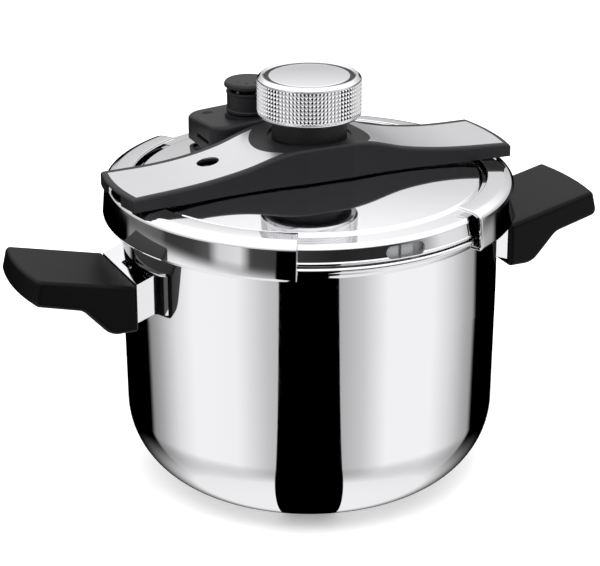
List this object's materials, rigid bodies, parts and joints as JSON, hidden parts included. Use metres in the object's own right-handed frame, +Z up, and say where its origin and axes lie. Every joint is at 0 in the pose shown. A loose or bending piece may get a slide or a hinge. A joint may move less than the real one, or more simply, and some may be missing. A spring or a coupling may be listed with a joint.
{
  "type": "pressure cooker",
  "caption": "Stovetop pressure cooker: steel pot with side grips, a lid clamped by sliding jaws, a knurled turning knob on a bridge, and a steam valve.",
  "frame": {"origin": "on the pot's axis, in the plane of its base", "axes": "+X along the bridge towards the right grip, +Y towards the steam valve, +Z up"},
  "size_m": [0.3666, 0.234, 0.246],
  "materials": {
    "polished_steel": "mirror polished",
    "satin_steel": "satin",
    "knurled_metal": "knurled, bright",
    "inner_steel": "plain",
    "core_aluminium": "plain",
    "dark_plastic": "moulded, satin",
    "grip_plastic": "moulded, satin",
    "brass": "plain",
    "silicone": "matte"
  },
  "bodies": {
    "pot": {"pot_shell": "polished_steel", "base_core": "core_aluminium", "base_cap": "inner_steel", "bracket_left": "polished_steel", "bracket_right": "polished_steel", "handle_left": "grip_plastic", "handle_right": "grip_plastic", "handle_screws_left": "inner_steel", "handle_screws_right": "inner_steel"},
    "lid": {"lid_shell": "polished_steel", "gasket": "silicone", "guide_plate": "inner_steel", "lid_stud": "inner_steel", "lid_washer": "silicone", "lid_nut": "inner_steel", "bridge_cover": "dark_plastic", "inlay_left": "satin_steel", "inlay_right": "satin_steel", "bridge_screws": "inner_steel", "hub_bush": "brass", "valve_housing": "dark_plastic", "valve_nozzle": "inner_steel", "valve_seal": "silicone", "valve_nut": "inner_steel", "steam_filter": "inner_steel", "indicator_sleeve": "dark_plastic", "safety_valve_body": "brass", "safety_valve_nut": "inner_steel", "regulator_spring": "inner_steel", "safety_spring": "inner_steel"},
    "knob": {"knob_ring": "knurled_metal", "knob_core": "dark_plastic", "knob_disc": "satin_steel", "knob_shaft": "inner_steel", "cam_disc": "inner_steel", "knob_screw": "inner_steel"},
    "jaw_pair_left": {"jaw_left": "polished_steel", "jaw_arm_left": "inner_steel", "jaw_rivets_left": "inner_steel", "follower_pin_left": "inner_steel"},
    "jaw_pair_right": {"jaw_right": "polished_steel", "jaw_arm_right": "inner_steel", "jaw_rivets_right": "inner_steel", "follower_pin_right": "inner_steel"},
    "selector": {"valve_barrel": "dark_plastic", "cap_spring": "inner_steel"},
    "release_cap": {"valve_cap": "dark_plastic"},
    "regulator": {"valve_plunger": "inner_steel"},
    "indicator": {"indicator_pin": "inner_steel", "indicator_seal": "silicone"},
    "safety": {"safety_plunger": "brass"}
  },
  "joints": [
    {"name": "lid_float", "type": "slide", "parent": "pot", "child": "lid", "axis": [0, 0, 1], "range_m": [0, 0.001]},
    {"name": "knob_turn", "type": "hinge", "parent": "lid", "child": "knob", "pos_m": [0, 0, 0.2], "axis": [0, 0, 1], "range_deg": [0, 90]},
    {"name": "jaw_left_slide", "type": "slide", "parent": "lid", "child": "jaw_pair_left", "axis": [-1, 0, 0], "range_m": [0, 0.012]},
    {"name": "jaw_right_slide", "type": "slide", "parent": "lid", "child": "jaw_pair_right", "axis": [1, 0, 0], "range_m": [0, 0.012]},
    {"name": "selector_turn", "type": "hinge", "parent": "lid", "child": "selector", "pos_m": [-0.0145, 0.056, 0.216], "axis": [0, 0, 1], "range_deg": [0, 120]},
    {"name": "cap_press", "type": "slide", "parent": "selector", "child": "release_cap", "axis": [0, 0, -1], "range_m": [0, 0.0016], "stiffness_N_per_m": 1500, "springref_m": -0.0005, "deforming": ["cap_spring"]},
    {"name": "regulator_lift", "type": "slide", "parent": "lid", "child": "regulator", "axis": [0, 0, 1], "range_m": [0, 0.0015], "stiffness_N_per_m": 1500, "springref_m": -0.001, "deforming": ["regulator_spring"]},
    {"name": "indicator_rise", "type": "slide", "parent": "lid", "child": "indicator", "axis": [0, 0, 1], "range_m": [0, 0.0035]},
    {"name": "safety_lift", "type": "slide", "parent": "lid", "child": "safety", "axis": [0, 0, 1], "range_m": [0, 0.0015], "stiffness_N_per_m": 1500, "springref_m": -0.001, "deforming": ["safety_spring"]}
  ],
  "couplings": [
    {"joint": "jaw_left_slide", "follows": "knob_turn", "m_per_rad": 0.0076394},
    {"joint": "jaw_right_slide", "follows": "knob_turn", "m_per_rad": 0.0076394}
  ]
}
